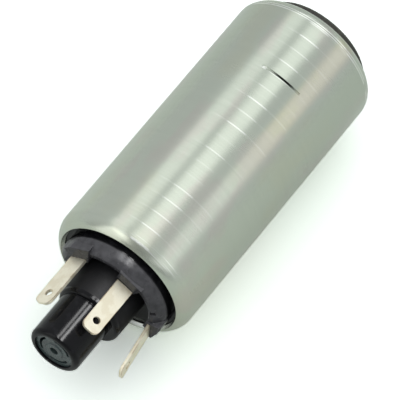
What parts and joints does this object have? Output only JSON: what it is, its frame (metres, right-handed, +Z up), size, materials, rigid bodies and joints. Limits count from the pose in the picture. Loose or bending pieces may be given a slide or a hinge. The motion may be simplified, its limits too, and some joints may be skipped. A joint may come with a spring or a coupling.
{
  "type": "electric fuel pump",
  "caption": "In-line round fuel pump: rolled steel case with motor and rotor pump, black outlet cap with hose nozzle and flat blade terminals, flush inlet port at the back.",
  "frame": {"origin": "centre of the bounding box's underside, on the floor under the lying case", "axes": "+X along the pump's axis towards the outlet nozzle, +Z up, away from the floor that the case lies on, +Y to the side of the third blade"},
  "size_m": [0.1106, 0.039, 0.039],
  "materials": {
    "steel_case": "satin, nickel plated",
    "black_gloss_plastic": "gloss",
    "seal_rubber": "matt",
    "valve_plastic": "satin",
    "tinned_brass": "satin, tinned",
    "spring_steel": "bright",
    "bearing_steel": "ground",
    "sintered_bronze": "matt",
    "sintered_steel": "satin",
    "copper": "satin",
    "phenolic": "matt",
    "lamination_steel": "matt",
    "ferrite": "matt",
    "carbon": "matt",
    "zinc_steel": "satin",
    "plate_aluminium": "satin",
    "cover_plastic": "satin"
  },
  "bodies": {
    "housing": {"case": "steel_case", "outlet_cap": "black_gloss_plastic", "cap_seal": "seal_rubber", "check_valve_guide": "valve_plastic", "check_valve_spring": "spring_steel", "relief_valve_spring": "spring_steel", "relief_valve_plug": "valve_plastic", "front_bush": "sintered_bronze", "rear_bush": "sintered_bronze", "thrust_washer": "bearing_steel", "flux_sleeve": "zinc_steel", "outlet_plate": "plate_aluminium", "rotor_ring": "sintered_steel", "thrust_button": "bearing_steel", "inlet_cover": "cover_plastic", "terminal_left": "tinned_brass", "terminal_middle": "tinned_brass", "terminal_right": "tinned_brass", "brush_spring_a": "spring_steel", "brush_spring_b": "spring_steel", "choke_a": "ferrite", "choke_b": "ferrite", "magnet_a": "ferrite", "magnet_b": "ferrite", "magnet_clip_a": "spring_steel", "magnet_clip_b": "spring_steel", "dowel_a": "bearing_steel", "dowel_b": "bearing_steel"},
    "rotor": {"shaft": "bearing_steel", "commutator_segments": "copper", "commutator_hub": "phenolic", "armature_core": "lamination_steel", "armature_windings": "copper", "inner_rotor": "sintered_steel"},
    "outer_rotor": {"outer_rotor": "sintered_steel"},
    "check_valve": {"check_valve_poppet": "valve_plastic", "check_valve_seal": "seal_rubber"},
    "relief_ball": {"relief_valve_ball": "bearing_steel"},
    "brush_a": {"brush_a": "carbon"},
    "brush_b": {"brush_b": "carbon"}
  },
  "joints": [
    {"name": "rotor_spin", "type": "hinge", "parent": "housing", "child": "rotor", "pos_m": [0, 0, 0.0195], "axis": [1, 0, 0], "continuous": true},
    {"name": "outer_rotor_spin", "type": "hinge", "parent": "housing", "child": "outer_rotor", "pos_m": [-0.03895, -0.0012, 0.0195], "axis": [1, 0, 0], "continuous": true},
    {"name": "check_valve_lift", "type": "slide", "parent": "housing", "child": "check_valve", "axis": [1, 0, 0], "range_m": [0, 0.0016], "stiffness_N_per_m": 300, "springref_m": -0.003, "deforming": ["check_valve_spring"]},
    {"name": "relief_valve_lift", "type": "slide", "parent": "housing", "child": "relief_ball", "axis": [1, 0, 0], "range_m": [0, 0.0012], "stiffness_N_per_m": 1500, "springref_m": -0.004, "deforming": ["relief_valve_spring"]},
    {"name": "brush_a_slide", "type": "slide", "parent": "housing", "child": "brush_a", "axis": [1, 0, 0], "range_m": [0, 0.003], "stiffness_N_per_m": 120, "springref_m": -0.005, "deforming": ["brush_spring_a"]},
    {"name": "brush_b_slide", "type": "slide", "parent": "housing", "child": "brush_b", "axis": [1, 0, 0], "range_m": [0, 0.003], "stiffness_N_per_m": 120, "springref_m": -0.005, "deforming": ["brush_spring_b"]}
  ],
  "couplings": [
    {"joint": "outer_rotor_spin", "follows": "rotor_spin", "ratio": 0.85714}
  ]
}
